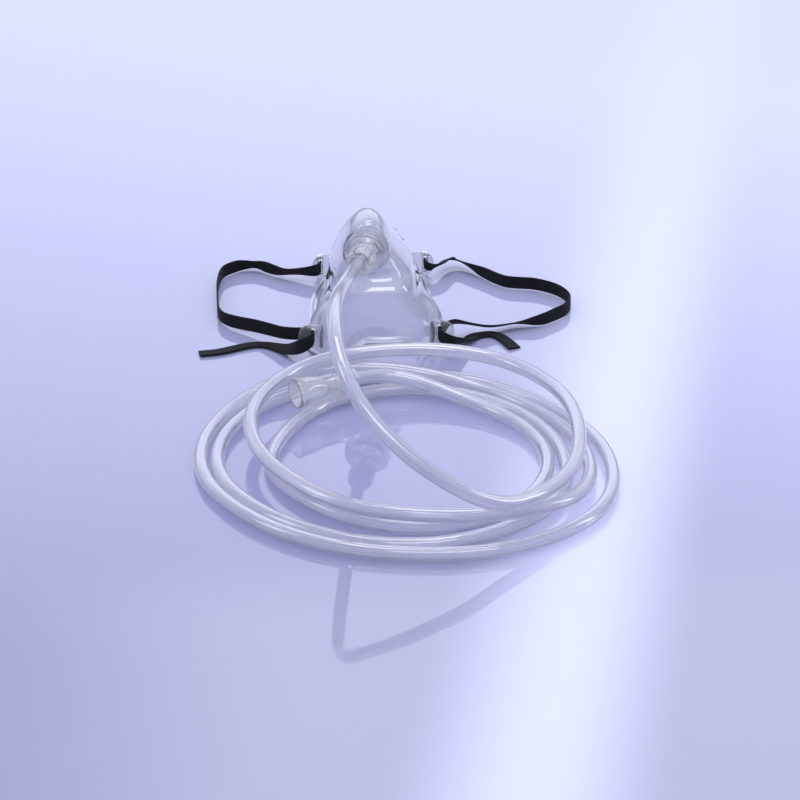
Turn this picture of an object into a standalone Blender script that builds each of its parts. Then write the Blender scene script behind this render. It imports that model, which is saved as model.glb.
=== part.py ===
"""Clear oxygen face mask with its tubing and straps, lying face down.

Metres, +Z up. The origin is on the table under the middle of the mask.
The chin and the tube port face -Y, and the nose is at +Y.
"""
import math

import bmesh
import bpy
import numpy as np
from mathutils import Matrix, Vector

MM = 0.001
GAP = 0.35 * MM

# Mask shell
WALL = 1.4 * MM
LEVELS = 26
AROUND = 44
FLOOR_CUT = Vector((300.0, 300.0, 20.0)) * MM

# Each station of the shell, from the rim to the crown, in millimetres:
# height, chin side, widest place, nose side, half width, chin squareness,
# nose roundness, cheek swell, sideways lean.
STATIONS = (
    (1.5, -57.3, -10, 57.5, 29.0, 3.6, 2.7, 0.14, 0.0),
    (1.5, -54.9, -10, 55.0, 26.7, 3.6, 2.6, 0.19, 0.0),
    (3.3, -53.2, -10, 53.0, 25.2, 3.7, 2.4, 0.25, 0.2),
    (12.0, -52.4, -10, 49.0, 23.6, 3.8, 2.1, 0.36, 0.6),
    (19.0, -52.0, -11, 43.6, 22.4, 3.9, 1.9, 0.27, 0.9),
    (25.0, -51.7, -12, 38.4, 21.2, 4.0, 1.8, 0.08, 0.9),
    (29.0, -51.4, -13, 34.4, 20.4, 4.0, 1.7, 0.0, 0.4),
    (33.5, -50.9, -14, 29.6, 19.5, 4.0, 1.6, 0.0, -0.4),
    (36.2, -49.2, -15, 26.6, 18.7, 4.0, 1.6, 0.0, -0.9),
    (38.4, -46.8, -16, 24.0, 17.9, 3.9, 1.6, 0.0, -1.3),
    (40.8, -45.6, -17, 21.0, 16.9, 3.8, 1.55, 0.0, -1.8),
    (47.0, -44.7, -20, 12.2, 13.9, 3.6, 1.5, 0.0, -2.8),
    (53.0, -43.8, -24, 1.6, 11.3, 3.4, 1.5, 0.0, -3.4),
    (58.5, -42.8, -28, -10.0, 9.1, 3.2, 1.5, 0.0, -3.4),
    (62.0, -42.0, -31, -18.4, 7.3, 2.8, 1.6, 0.0, -3.2),
    (64.6, -40.4, -32, -24.0, 4.9, 2.4, 1.8, 0.0, -3.0),
    (65.8, -37.4, -32, -27.8, 2.5, 2.0, 2.0, 0.0, -2.9),
)
CROWN_HEIGHT = 66.1 * MM

# Where the cheeks swell, how the rim arches over the nose bridge and under the
# chin, and how far the soft nose end leans over
CHEEK_PLACE = -36.0 * MM
CHEEK_SPREAD = 13.0 * MM
NOSE_ARCH = 6.0 * MM
NOSE_ARCH_WIDTH = 11.0 * MM
NOSE_ARCH_START = 30.0 * MM
NOSE_ARCH_END = 58.0 * MM
NOSE_ARCH_TOP = 16.0 * MM
NOSE_DRIFT = 4.0 * MM
NOSE_DRIFT_START = -5.0 * MM
NOSE_DRIFT_END = 50.0 * MM
CHIN_ARCH = 11.0 * MM
CHIN_ARCH_CENTRE = 4.0 * MM
CHIN_ARCH_FLAT = 8.0 * MM
CHIN_ARCH_FOOT = 24.0 * MM
CHIN_ARCH_START = 46.0 * MM
CHIN_ARCH_END = 54.0 * MM
CHIN_ARCH_TOP = 26.0 * MM

# Vent holes in both cheeks
VENT_RING_RADIUS = 7.0 * MM
VENT_RADIUS = 1.6 * MM
VENT_COUNT = 6
VENT_PLACE = (-14.0 * MM, 27.0 * MM)
VENT_CUT_LENGTH = 90.0 * MM

# Port boss and connector
PORT_PLACE = Vector((-4.5, -44.6, 52.1)) * MM
PORT_RISE = math.radians(9)
PORT_TURN = math.radians(13)
BASE_RADIUS = 10.8 * MM
BASE_LENGTH = 0.8 * MM
BOSS_RADIUS = 8.6 * MM
BOSS_FOOT_RADIUS = 9.6 * MM
BOSS_LENGTH = 3.0 * MM
BOSS_DEPTH = 3.4 * MM
BORE_RADIUS = 5.4 * MM
NECK_PLAY = 0.4 * MM
CONNECTOR_RIBS = 8
RIB_SIZE = Vector((0.9, 1.1, 9.6)) * MM
RIB_RADIUS = 5.75 * MM
RIB_HEIGHT = 11.4 * MM
SOCKET_DEPTH = 9.0 * MM

# Straps, and the ears that they thread through. Each ear's numbers are, in
# millimetres: its place along the mask, its inner end, how far it reaches out,
# its slot's height and distance from its outer end, and the slope of its root.
STRAP_WIDTH = 6.3 * MM
STRAP_THICKNESS = 0.8 * MM
SLOT_WIDTH = 2.6 * MM
SLOT_HEIGHT = 7.6 * MM
PLATE_THICKNESS = 1.8 * MM
PLATE_HEIGHT = 11.8 * MM
PLATE_CORNER = 3.8 * MM
LUG = (38.0, 17.6, 11.6, 6.2, 3.8, 4.0)
TAB = (-44.0, 24.2, 11.4, 10.0, 7.1, 0.0)

# Pressed clip on each strap's upper end, beside its lug
CLIP_SIZE = Vector((2.9, 3.6, 8.2)) * MM
CLIP_EDGE = 0.4 * MM
CLIP_BEHIND_LUG = 4.2 * MM

# Tube and coil
TUBE_RADIUS = 3.15 * MM
COIL_CENTRE = Vector((6.0, -151.0, 0.0)) * MM
COIL_OUTER = Vector((91.5, 82.5, 1.0)) * MM
COIL_INNER = Vector((54.5, 51.5, 1.0)) * MM
COIL_HEIGHT = 19.0 * MM
COIL_CORNER = 3.2 * MM

# Route of the free tube, in millimetres, from the connector to the coil
LEAD_ROUTE = (
    (-9.3, -65.1, 55.4), (-11.7, -75.8, 57.3), (-14.0, -90.0, 61.4), (-16.8, -108.0, 66.9),
    (-20.2, -128.0, 72.9), (-23.1, -149.0, 77.3), (-24.7, -168.0, 77.2), (-23.8, -184.0, 72.2),
    (-20.0, -196.5, 64.6), (-13.6, -206.4, 56.6), (-5.4, -213.6, 48.8), (4.0, -218.6, 41.4),
    (13.8, -221.6, 34.6), (23.4, -222.8, 28.6), (29.0, -222.7, 25.2),
)

# Route of each strap, in millimetres and degrees: x, y, height, tilt.
# A tilt of 0 stands the ribbon on its edge and 90 lays it flat.
STRAP_LEFT_ROUTE = (
    (-21.8, 43.6, 6.2, 0), (-21.8, 40.6, 6.2, 0), (-22.0, 37.2, 6.2, 0), (-23.8, 34.6, 6.1, 0),
    (-27.4, 34.6, 5.6, -20), (-32.6, 36.4, 4.8, -38), (-38.6, 38.4, 4.0, -40), (-43.8, 41.4, 3.7, -15),
    (-48.5, 45.4, 3.6, -10), (-53.3, 48.4, 3.5, -35), (-58.6, 48.4, 3.5, -20), (-63.4, 46.6, 3.5, 0),
    (-69.2, 40.4, 3.5, 0), (-71.6, 27.0, 3.5, 0), (-71.9, 10.6, 3.5, 0), (-71.4, -3.6, 3.6, 0),
    (-68.4, -10.6, 3.8, 0), (-62.4, -15.8, 4.2, -10), (-54.9, -21.0, 4.9, -10), (-48.6, -27.0, 5.9, -5),
    (-43.2, -33.2, 7.2, 0), (-38.0, -37.6, 8.6, 0), (-33.4, -40.0, 9.6, 0), (-29.8, -41.9, 10.0, 0),
    (-28.5, -44.2, 10.0, 0), (-29.1, -46.9, 9.9, 0), (-31.8, -49.0, 9.0, 4), (-35.8, -48.6, 7.0, 16),
    (-39.2, -44.8, 4.6, 42), (-42.8, -39.2, 2.1, 72), (-47.2, -34.6, 1.0, 88), (-52.0, -32.2, 0.8, 90),
    (-58.0, -32.6, 0.8, 90), (-64.6, -35.2, 0.8, 90), (-72.0, -38.2, 0.8, 90), (-81.0, -39.6, 0.8, 90),
)
STRAP_RIGHT_ROUTE = (
    (28.8, 43.6, 6.2, 0), (28.8, 40.6, 6.2, 0), (29.0, 37.2, 6.2, 0), (31.4, 34.0, 6.3, 2),
    (35.4, 35.6, 6.4, 18), (38.6, 40.6, 6.2, 46), (41.4, 44.6, 5.4, 60), (44.8, 45.2, 4.4, 60),
    (49.0, 41.0, 3.8, 48), (53.0, 36.0, 3.5, 25), (57.4, 30.8, 3.5, 5), (61.7, 25.4, 3.5, 0),
    (66.4, 21.0, 3.5, 0), (72.4, 19.2, 3.5, 0), (80.6, 17.2, 3.5, 0), (90.2, 9.6, 3.5, 0),
    (94.4, -1.2, 3.5, 0), (91.4, -10.4, 3.5, 5), (85.7, -15.8, 3.5, 8), (80.5, -19.8, 3.5, 0),
    (75.6, -21.6, 3.4, -22), (70.9, -22.0, 3.1, -46), (66.2, -22.6, 2.9, -60), (61.3, -24.2, 3.0, -60),
    (56.4, -26.1, 3.4, -60), (51.6, -27.3, 4.2, -60), (46.8, -27.4, 5.2, -60), (42.2, -27.8, 6.4, -60),
    (38.2, -29.6, 7.8, -56), (35.2, -32.8, 9.0, -42), (33.2, -36.6, 9.7, -24), (31.2, -39.8, 10.0, -8),
    (29.2, -42.2, 10.0, 0), (28.5, -44.4, 10.0, 0), (29.1, -46.9, 9.9, 0), (31.8, -49.0, 8.8, 6),
    (35.8, -48.2, 6.8, 22), (39.2, -43.4, 4.4, 48), (42.2, -37.2, 2.3, 74), (45.8, -31.8, 1.1, 88),
    (50.2, -29.2, 0.8, 90), (54.4, -28.8, 0.8, 90), (58.0, -31.6, 0.8, 90), (61.0, -37.2, 0.8, 90),
    (63.7, -44.0, 0.8, 90),
)

# Far-end connector, resting on the coil's inner turns
END_PLACE = Vector((-25.8, -97.7, 12.5)) * MM
END_HEADING = math.radians(205)
END_LENGTH = 30.0 * MM
END_MOUTH_RADIUS = 6.3 * MM
NOTCH_RADIUS = 7.8 * MM
NOTCH_LENGTH = 38.0 * MM

# Nose strip, placed by the share of the stations from the rim to the crown
NOSE_CLIP_LEVEL = (0.325, 0.385)
NOSE_CLIP_SPREAD = math.radians(46)
NOSE_CLIP_THICKNESS = 0.6 * MM
STUD_SPREAD = math.radians(30)
STUD_RADIUS = 1.1 * MM
STUD_LENGTH = 3.4 * MM
STUD_HOLE_RADIUS = 1.6 * MM


def clear_scene():
    for item in list(bpy.data.objects):
        bpy.data.objects.remove(item)


def new_collection(name):
    collection = bpy.data.collections.new(name)
    bpy.context.scene.collection.children.link(collection)
    return collection


def principled(name, colour, roughness, metallic=0.0, transmission=0.0, ior=1.5):
    material = bpy.data.materials.new(name)
    material.use_nodes = True
    shader = material.node_tree.nodes["Principled BSDF"]
    shader.inputs["Base Color"].default_value = (*colour, 1.0)
    shader.inputs["Roughness"].default_value = roughness
    shader.inputs["Metallic"].default_value = metallic
    shader.inputs["Transmission Weight"].default_value = transmission
    shader.inputs["IOR"].default_value = ior
    return material


def add_object(name, mesh, collection, material=None):
    item = bpy.data.objects.new(name, mesh)
    collection.objects.link(item)
    if material:
        mesh.materials.append(material)
    return item


def mesh_from_bmesh(name, bm, outward=True):
    """A smooth-shaded mesh; faces made by hand are first turned to point out."""
    if outward:
        bmesh.ops.recalc_face_normals(bm, faces=bm.faces)
    mesh = bpy.data.meshes.new(name)
    bm.to_mesh(mesh)
    bm.free()
    mesh.shade_smooth()
    mesh.set_sharp_from_angle(angle=math.radians(38))
    return mesh


def smooth_rows(rows, count):
    """Rows read from a Catmull-Rom curve through the given rows."""
    table = np.array(rows, float)
    padded = np.vstack((2 * table[0] - table[1], table, 2 * table[-1] - table[-2]))
    result = []
    for place in np.linspace(0, len(table) - 1, count):
        first = min(int(place), len(table) - 2)
        t = place - first
        a, b, c, d = padded[first:first + 4]
        result.append(0.5 * (2 * b + (c - a) * t + (2 * a - 5 * b + 4 * c - d) * t ** 2
                             + (3 * b - a - 3 * c + d) * t ** 3))
    return np.array(result)


def even_route(rows, spacing):
    """A smooth route with its points about evenly spaced, in metres."""
    fine = smooth_rows(rows, 40 * len(rows))
    fine[:, :3] *= MM
    steps = np.linalg.norm(np.diff(fine[:, :3], axis=0), axis=1)
    run = np.concatenate(([0.0], np.cumsum(steps)))
    count = max(2, int(round(run[-1] / spacing)) + 1)
    places = np.linspace(0, run[-1], count)
    return np.column_stack([np.interp(places, run, fine[:, k]) for k in range(fine.shape[1])])


def ease(value):
    value = min(max(value, 0.0), 1.0)
    return value * value * (3 - 2 * value)


def shell_point(row, angle):
    """A point of the shell's outer surface on one station, at an angle around it."""
    height, chin, widest, nose, half_width = (value * MM for value in row[:5])
    squareness, roundness, swell = row[5:8]
    lean = row[8] * MM
    across, along = math.cos(angle), math.sin(angle)
    power = 2 / (squareness if along < 0 else roundness)
    reach = (widest - chin) if along < 0 else (nose - widest)
    y = widest + math.copysign(reach * abs(along) ** power, along)
    x = math.copysign(half_width * abs(across) ** power, across)
    x *= 1 + swell * math.exp(-((y - CHEEK_PLACE) / CHEEK_SPREAD) ** 2)
    arch = NOSE_ARCH * ease((y - NOSE_ARCH_START) / (NOSE_ARCH_END - NOSE_ARCH_START))
    arch *= math.exp(-(x / NOSE_ARCH_WIDTH) ** 2) * (1 - ease(height / NOSE_ARCH_TOP))
    return Vector((x + lean + nose_drift(y), y, height + arch + chin_arch(x, y, height)))


def nose_drift(y):
    """How far the soft nose end leans over to the right."""
    return NOSE_DRIFT * ease((y - NOSE_DRIFT_START) / (NOSE_DRIFT_END - NOSE_DRIFT_START))


def chin_arch(x, y, height):
    """How much the middle of the chin's rim is lifted off the table."""
    from_middle = abs(x - CHIN_ARCH_CENTRE)
    lift = CHIN_ARCH * (1 - ease((from_middle - CHIN_ARCH_FLAT) / (CHIN_ARCH_FOOT - CHIN_ARCH_FLAT)))
    lift *= ease((-y - CHIN_ARCH_START) / (CHIN_ARCH_END - CHIN_ARCH_START))
    return lift * (1 - ease(height / CHIN_ARCH_TOP))


def shell_surface(levels, around):
    """The shell's outer surface, open at the rim."""
    bm = bmesh.new()
    rings = []
    for row in smooth_rows(STATIONS, levels):
        ring = [bm.verts.new(shell_point(row, 2 * math.pi * k / around)) for k in range(around)]
        rings.append(ring)
    for low, high in zip(rings, rings[1:]):
        for k in range(around):
            after = (k + 1) % around
            bm.faces.new((low[k], low[after], high[after], high[k]))
    crown_row = STATIONS[-1]
    crown = Vector((crown_row[8] * MM, crown_row[2] * MM, CROWN_HEIGHT))
    crown_vert = bm.verts.new(crown)
    for k in range(around):
        bm.faces.new((rings[-1][k], rings[-1][(k + 1) % around], crown_vert))
    return bm


def port_frame():
    """The port's place and the way its connector points."""
    turn = Matrix.Rotation(-PORT_TURN, 4, "Z")
    rise = Matrix.Rotation(-PORT_RISE, 4, "X")
    to_minus_y = Matrix.Rotation(math.radians(90), 4, "X")
    return Matrix.Translation(PORT_PLACE) @ turn @ rise @ to_minus_y


def cylinder(radius, depth, segments=32, taper=1.0):
    bm = bmesh.new()
    bmesh.ops.create_cone(bm, cap_ends=True, segments=segments, radius1=radius,
                          radius2=radius * taper, depth=depth)
    return bm


def block(size):
    bm = bmesh.new()
    bmesh.ops.create_cube(bm, size=1.0)
    bmesh.ops.scale(bm, vec=size, verts=bm.verts)
    return bm


def helper(name, bm, cutters, matrix):
    """A cutter or a piece to fuse, kept out of the finished part."""
    bm.transform(matrix)
    if matrix.determinant() < 0:
        bmesh.ops.reverse_faces(bm, faces=bm.faces)
    item = add_object(name, mesh_from_bmesh(name, bm, outward=False), cutters)
    item.hide_render = True
    item.display_type = "WIRE"
    return item


def boolean(item, other, operation):
    modifier = item.modifiers.new(other.name, "BOOLEAN")
    modifier.object = other
    modifier.operation = operation
    modifier.solver = "EXACT"


def strap_plate(name, side, ear, cutters):
    """An ear with rounded outer corners that a strap is threaded through."""
    y, inner, reach, slot_height, _, slope = (value * MM for value in ear)
    bm = block((reach, PLATE_THICKNESS, PLATE_HEIGHT))
    for vert in bm.verts:
        if vert.co.x < 0 and vert.co.z > 0:
            vert.co.x -= slope
    outer = [edge for edge in bm.edges
             if all(vert.co.x > 0 for vert in edge.verts)
             and abs(edge.verts[0].co.y - edge.verts[1].co.y) > PLATE_THICKNESS / 2]
    bmesh.ops.bevel(bm, geom=outer, offset=PLATE_CORNER, segments=4, profile=0.5, affect="EDGES")
    middle = side * (inner + reach / 2) + nose_drift(y)
    mirror = Matrix.Scale(side, 4, (1, 0, 0))
    return helper(name, bm, cutters, Matrix.Translation((middle, y, slot_height)) @ mirror)


def slot_place(side, ear):
    """The middle of an ear's strap slot."""
    y, inner, reach, slot_height, inset, _ = (value * MM for value in ear)
    return Vector((side * (inner + reach - inset) + nose_drift(y), y, slot_height))


def strap_slot(name, side, ear, cutters):
    bm = block((SLOT_WIDTH, 2 * PLATE_THICKNESS, SLOT_HEIGHT))
    return helper(name, bm, cutters, Matrix.Translation(slot_place(side, ear)))


def make_mask_body(parts, cutters, material):
    bm = shell_surface(LEVELS, AROUND)
    body = add_object("mask_body", mesh_from_bmesh("mask_body", bm), parts, material)
    solidify = body.modifiers.new("wall", "SOLIDIFY")
    solidify.thickness = WALL
    solidify.offset = -1.0
    solidify.use_even_offset = True
    body.modifiers.new("flat_faces", "TRIANGULATE")

    for side, word in ((-1, "left"), (1, "right")):
        boolean(body, strap_plate("lug_" + word, side, LUG, cutters), "UNION")
        boolean(body, strap_plate("tab_" + word, side, TAB, cutters), "UNION")
        boolean(body, nose_stud("stud_" + word, side, cutters), "UNION")

    base = cylinder(BASE_RADIUS, BASE_LENGTH + BOSS_DEPTH, segments=40)
    shift = Matrix.Translation((0, 0, (BASE_LENGTH - BOSS_DEPTH) / 2))
    boolean(body, helper("port_base", base, cutters, port_frame() @ shift), "UNION")
    boss = cylinder(BOSS_FOOT_RADIUS, BOSS_LENGTH + BOSS_DEPTH, taper=BOSS_RADIUS / BOSS_FOOT_RADIUS)
    shift = Matrix.Translation((0, 0, (BOSS_LENGTH - BOSS_DEPTH) / 2))
    boolean(body, helper("port_boss", boss, cutters, port_frame() @ shift), "UNION")
    bore = cylinder(BORE_RADIUS, 8 * BOSS_LENGTH)
    boolean(body, helper("port_bore", bore, cutters, port_frame()), "DIFFERENCE")

    for side, word in ((-1, "left"), (1, "right")):
        boolean(body, strap_slot("lug_slot_" + word, side, LUG, cutters), "DIFFERENCE")
        boolean(body, strap_slot("tab_slot_" + word, side, TAB, cutters), "DIFFERENCE")

    y, z = VENT_PLACE
    centres = [(y, z)]
    for k in range(VENT_COUNT):
        angle = 2 * math.pi * k / VENT_COUNT
        centres.append((y + VENT_RING_RADIUS * math.cos(angle), z + VENT_RING_RADIUS * math.sin(angle)))
    for number, (hole_y, hole_z) in enumerate(centres):
        vent = cylinder(VENT_RADIUS, VENT_CUT_LENGTH, segments=10)
        place = Matrix.Translation((0, hole_y, hole_z)) @ Matrix.Rotation(math.pi / 2, 4, "Y")
        boolean(body, helper("vent_%d" % number, vent, cutters, place), "DIFFERENCE")

    below = Matrix.Translation((0, 0, -FLOOR_CUT.z / 2))
    boolean(body, helper("flat_rim", block(FLOOR_CUT), cutters, below), "DIFFERENCE")
    return body


def clip_frame(angle, level):
    """A place on the nose slope and the way out of its surface there."""
    rows = smooth_rows(STATIONS, 201)
    row = rows[int(round(level * 200))]
    above = rows[int(round(level * 200)) + 2]
    place = shell_point(row, angle)
    sideways = shell_point(row, angle + 0.02) - shell_point(row, angle - 0.02)
    upwards = shell_point(above, angle) - place
    out = sideways.cross(upwards).normalized()
    if out.y < 0:
        out.negate()
    return place, out


def nose_stud(name, side, cutters):
    place, out = clip_frame(math.pi / 2 - side * STUD_SPREAD, sum(NOSE_CLIP_LEVEL) / 2)
    bm = cylinder(STUD_RADIUS, STUD_LENGTH, segments=12)
    turn = out.to_track_quat("Z", "Y").to_matrix().to_4x4()
    return helper(name, bm, cutters, Matrix.Translation(place + out * 0.6 * MM) @ turn)


def make_nose_clip(parts, cutters, material):
    """A bent strip that follows the nose slope a hair above it."""
    across, along = 22, 4
    bm = bmesh.new()
    grid = []
    for i in range(across + 1):
        angle = math.pi / 2 + NOSE_CLIP_SPREAD * (2 * i / across - 1)
        end = abs(2 * i / across - 1)
        narrowing = 0.5 * (1 - ease((end - 0.8) / 0.2) * 0.55)
        middle = sum(NOSE_CLIP_LEVEL) / 2
        width = NOSE_CLIP_LEVEL[1] - NOSE_CLIP_LEVEL[0]
        column = []
        for j in range(along + 1):
            level = middle + width * narrowing * (2 * j / along - 1)
            place, out = clip_frame(angle, level)
            column.append(bm.verts.new(place + out * (GAP + NOSE_CLIP_THICKNESS)))
        grid.append(column)
    for first, second in zip(grid, grid[1:]):
        for j in range(along):
            bm.faces.new((first[j], second[j], second[j + 1], first[j + 1]))
    clip = add_object("nose_clip", mesh_from_bmesh("nose_clip", bm), parts, material)
    if clip.data.polygons[0].normal.y < 0:
        clip.data.flip_normals()
    solidify = clip.modifiers.new("sheet", "SOLIDIFY")
    solidify.thickness = NOSE_CLIP_THICKNESS
    solidify.offset = -1.0
    for side, word in ((-1, "left"), (1, "right")):
        place, out = clip_frame(math.pi / 2 - side * STUD_SPREAD, sum(NOSE_CLIP_LEVEL) / 2)
        turn = out.to_track_quat("Z", "Y").to_matrix().to_4x4()
        hole = cylinder(STUD_HOLE_RADIUS, 6 * MM, segments=16)
        boolean(clip, helper("clip_hole_" + word, hole, cutters, Matrix.Translation(place) @ turn),
                "DIFFERENCE")
    return clip


def turned(name, profile, parts, material, matrix, steps=24):
    """A turned piece from a closed profile of radius and height in millimetres."""
    bm = bmesh.new()
    verts = [bm.verts.new((radius * MM, 0, height * MM)) for radius, height in profile]
    for first, second in zip(verts, verts[1:] + verts[:1]):
        bm.edges.new((first, second))
    bmesh.ops.spin(bm, geom=bm.verts[:] + bm.edges[:], cent=(0, 0, 0), axis=(0, 0, 1),
                   angle=2 * math.pi, steps=steps, use_merge=True)
    bmesh.ops.remove_doubles(bm, verts=bm.verts, dist=1e-6)
    item = add_object(name, mesh_from_bmesh(name, bm), parts, material)
    item.matrix_world = matrix
    return item


def make_port_connector(parts, cutters, material):
    """A flanged barrel: its neck goes through the boss and its socket takes the tube."""
    neck = (BORE_RADIUS - NECK_PLAY) / MM
    boss_face = BOSS_LENGTH / MM + GAP / MM
    profile = (
        (1.2, -7.5), (neck - 0.8, -7.5), (neck, -6.5), (neck, boss_face),
        (7.6, boss_face), (7.9, boss_face + 0.4), (7.9, boss_face + 1.4), (7.4, boss_face + 1.8),
        (6.3, boss_face + 2.4), (6.1, boss_face + 8.0), (5.7, boss_face + 8.6),
        (5.5, boss_face + 16.6), (5.1, boss_face + 17.2), (4.3, boss_face + 17.2),
        (3.75, boss_face + 16.4), (3.75, boss_face + 17.2 - SOCKET_DEPTH / MM),
        (1.2, boss_face + 16.6 - SOCKET_DEPTH / MM),
    )
    connector = turned("port_connector", profile, parts, material, port_frame())
    for k in range(CONNECTOR_RIBS):
        rib = block(RIB_SIZE)
        angle = 2 * math.pi * (k + 0.5) / CONNECTOR_RIBS
        place = port_frame() @ Matrix.Rotation(angle, 4, "Z") @ Matrix.Translation(
            (RIB_RADIUS, 0, boss_face * MM + RIB_HEIGHT))
        boolean(connector, helper("connector_rib_%d" % k, rib, cutters, place), "UNION")
    return connector


def make_oxygen_tube(parts, material):
    """The free stretch of tube, as a round bevelled curve."""
    curve = bpy.data.curves.new("oxygen_tube", "CURVE")
    curve.dimensions = "3D"
    curve.bevel_depth = TUBE_RADIUS
    curve.bevel_resolution = 3
    curve.use_fill_caps = True
    spline = curve.splines.new("POLY")
    route = even_route(LEAD_ROUTE, 2.2 * 2 * TUBE_RADIUS)
    spline.points.add(len(route) - 1)
    for point, place in zip(spline.points, route):
        point.co = (*place, 1.0)
    tube = bpy.data.objects.new("oxygen_tube", curve)
    curve.materials.append(material)
    parts.objects.link(tube)
    return tube


def make_tube_coil(parts, cutters, material):
    """The outer shape of the coiled tube: a turned oval ring with rounded edges."""
    middle = (COIL_OUTER.x + COIL_INNER.x) / 2
    half = (COIL_OUTER.x - COIL_INNER.x) / 2
    profile = []
    for x_sign, z_sign, start in ((1, -1, -90), (1, 1, 0), (-1, 1, 90), (-1, -1, 180)):
        centre_r = middle + x_sign * (half - COIL_CORNER)
        centre_z = COIL_HEIGHT / 2 + z_sign * (COIL_HEIGHT / 2 - COIL_CORNER)
        for step in range(4):
            angle = math.radians(start + 30 * step)
            profile.append(((centre_r + COIL_CORNER * math.cos(angle)) / MM,
                            (centre_z + COIL_CORNER * math.sin(angle)) / MM))
    coil = turned("tube_coil", profile, parts, material, Matrix.Identity(4), steps=52)
    for vert in coil.data.vertices:
        radius = math.hypot(vert.co.x, vert.co.y)
        part_way = (radius - COIL_INNER.x) / (COIL_OUTER.x - COIL_INNER.x)
        target = COIL_INNER.y + part_way * (COIL_OUTER.y - COIL_INNER.y)
        vert.co = Vector((vert.co.x, vert.co.y * target / radius, vert.co.z)) + COIL_CENTRE
    notch = cylinder(NOTCH_RADIUS, NOTCH_LENGTH, segments=20)
    boolean(coil, helper("connector_notch", notch, cutters, end_frame()), "DIFFERENCE")
    opening = block((NOTCH_LENGTH, 2 * NOTCH_RADIUS, 2 * NOTCH_RADIUS))
    shift = Matrix.Translation((0, 0, NOTCH_RADIUS))
    heading = Matrix.Translation(END_PLACE) @ Matrix.Rotation(END_HEADING, 4, "Z")
    boolean(coil, helper("notch_opening", opening, cutters, heading @ shift), "DIFFERENCE")
    return coil


def end_frame():
    """The far-end connector's middle; its mouth points along local +Z."""
    return (Matrix.Translation(END_PLACE) @ Matrix.Rotation(END_HEADING, 4, "Z")
            @ Matrix.Rotation(math.radians(90), 4, "Y"))


def make_end_connector(parts, material):
    """A soft funnel: a grooved sleeve over the tube's end that flares to a wide mouth."""
    half = END_LENGTH / MM / 2
    mouth = END_MOUTH_RADIUS / MM
    profile = (
        (2.0, -half + 9.0), (2.6, -half + 8.4), (3.5, -half + 8.4), (3.5, -half), (4.7, -half),
        (4.9, -half + 0.6), (4.9, -half + 3.2), (4.4, -half + 3.8), (4.4, -half + 5.4),
        (4.9, -half + 6.0), (4.9, -half + 8.6), (4.4, -half + 9.2), (4.4, -half + 10.8),
        (4.9, -half + 11.4), (5.0, -half + 18.0), (mouth, half - 6.0), (mouth, half - 2.0),
        (mouth + 0.6, half - 1.4), (mouth + 0.6, half), (mouth - 0.8, half),
        (3.4, half - 14.0), (2.0, half - 17.0),
    )
    return turned("tube_end_connector", profile, parts, material, end_frame(), steps=20)


def make_strap(name, route, parts, material):
    """A flat elastic ribbon that twists as its route's tilt says."""
    bm = bmesh.new()
    rows = even_route(route, 3.4 * MM)
    edges = []
    for k, row in enumerate(rows):
        before, after = rows[max(k - 1, 0)], rows[min(k + 1, len(rows) - 1)]
        heading = Vector(after[:3] - before[:3]).normalized()
        level = heading.cross(Vector((0, 0, 1))).normalized()
        upright = level.cross(heading).normalized()
        tilt = math.radians(row[3])
        across = upright * math.cos(tilt) + level * math.sin(tilt)
        centre = Vector(row[:3])
        edges.append((bm.verts.new(centre - across * STRAP_WIDTH / 2),
                      bm.verts.new(centre + across * STRAP_WIDTH / 2)))
    for (low_a, high_a), (low_b, high_b) in zip(edges, edges[1:]):
        bm.faces.new((low_a, low_b, high_b, high_a))
    strap = add_object(name, mesh_from_bmesh(name, bm), parts, material)
    solidify = strap.modifiers.new("webbing", "SOLIDIFY")
    solidify.thickness = STRAP_THICKNESS
    solidify.offset = 0.0
    return strap


def make_strap_clip(name, side, cutters, parts, material):
    """A pressed metal sleeve on the strap's upper end."""
    bm = block(CLIP_SIZE)
    bmesh.ops.bevel(bm, geom=bm.edges[:], offset=CLIP_EDGE, segments=2, profile=0.5, affect="EDGES")
    place = Matrix.Translation(slot_place(side, LUG) + Vector((0, CLIP_BEHIND_LUG, 0)))
    bm.transform(place)
    clip = add_object(name, mesh_from_bmesh(name, bm, outward=False), parts, material)
    hollow = block((STRAP_THICKNESS + 2 * GAP, 2 * CLIP_SIZE.y, STRAP_WIDTH + 2 * GAP))
    boolean(clip, helper(name + "_hollow", hollow, cutters, place), "DIFFERENCE")
    return clip


def main():
    clear_scene()
    parts = new_collection("oxygen_face_mask")
    cutters = new_collection("cutters")
    vinyl = principled("clear_vinyl", (0.86, 0.88, 0.93), 0.08, transmission=0.9, ior=1.52)
    tube_vinyl = principled("tube_vinyl", (0.84, 0.85, 0.92), 0.1, transmission=0.85, ior=1.52)
    styrene = principled("connector_plastic", (0.88, 0.9, 0.95), 0.05, transmission=0.9, ior=1.58)
    elastic = principled("black_elastic", (0.012, 0.014, 0.02), 0.85)
    aluminium = principled("aluminium", (0.8, 0.81, 0.83), 0.35, metallic=1.0)

    make_mask_body(parts, cutters, vinyl)
    make_nose_clip(parts, cutters, aluminium)
    make_port_connector(parts, cutters, styrene)
    make_oxygen_tube(parts, tube_vinyl)
    make_tube_coil(parts, cutters, tube_vinyl)
    make_end_connector(parts, vinyl)
    make_strap("strap_left", STRAP_LEFT_ROUTE, parts, elastic)
    make_strap("strap_right", STRAP_RIGHT_ROUTE, parts, elastic)
    make_strap_clip("strap_clip_left", -1, cutters, parts, aluminium)
    make_strap_clip("strap_clip_right", 1, cutters, parts, aluminium)


main()
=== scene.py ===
"""Looks of a clear oxygen face mask with its straps and its coil of clear tubing.

Metres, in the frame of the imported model. The mask lies face down with its chin
and tube port towards -Y.
"""
import math

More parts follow.
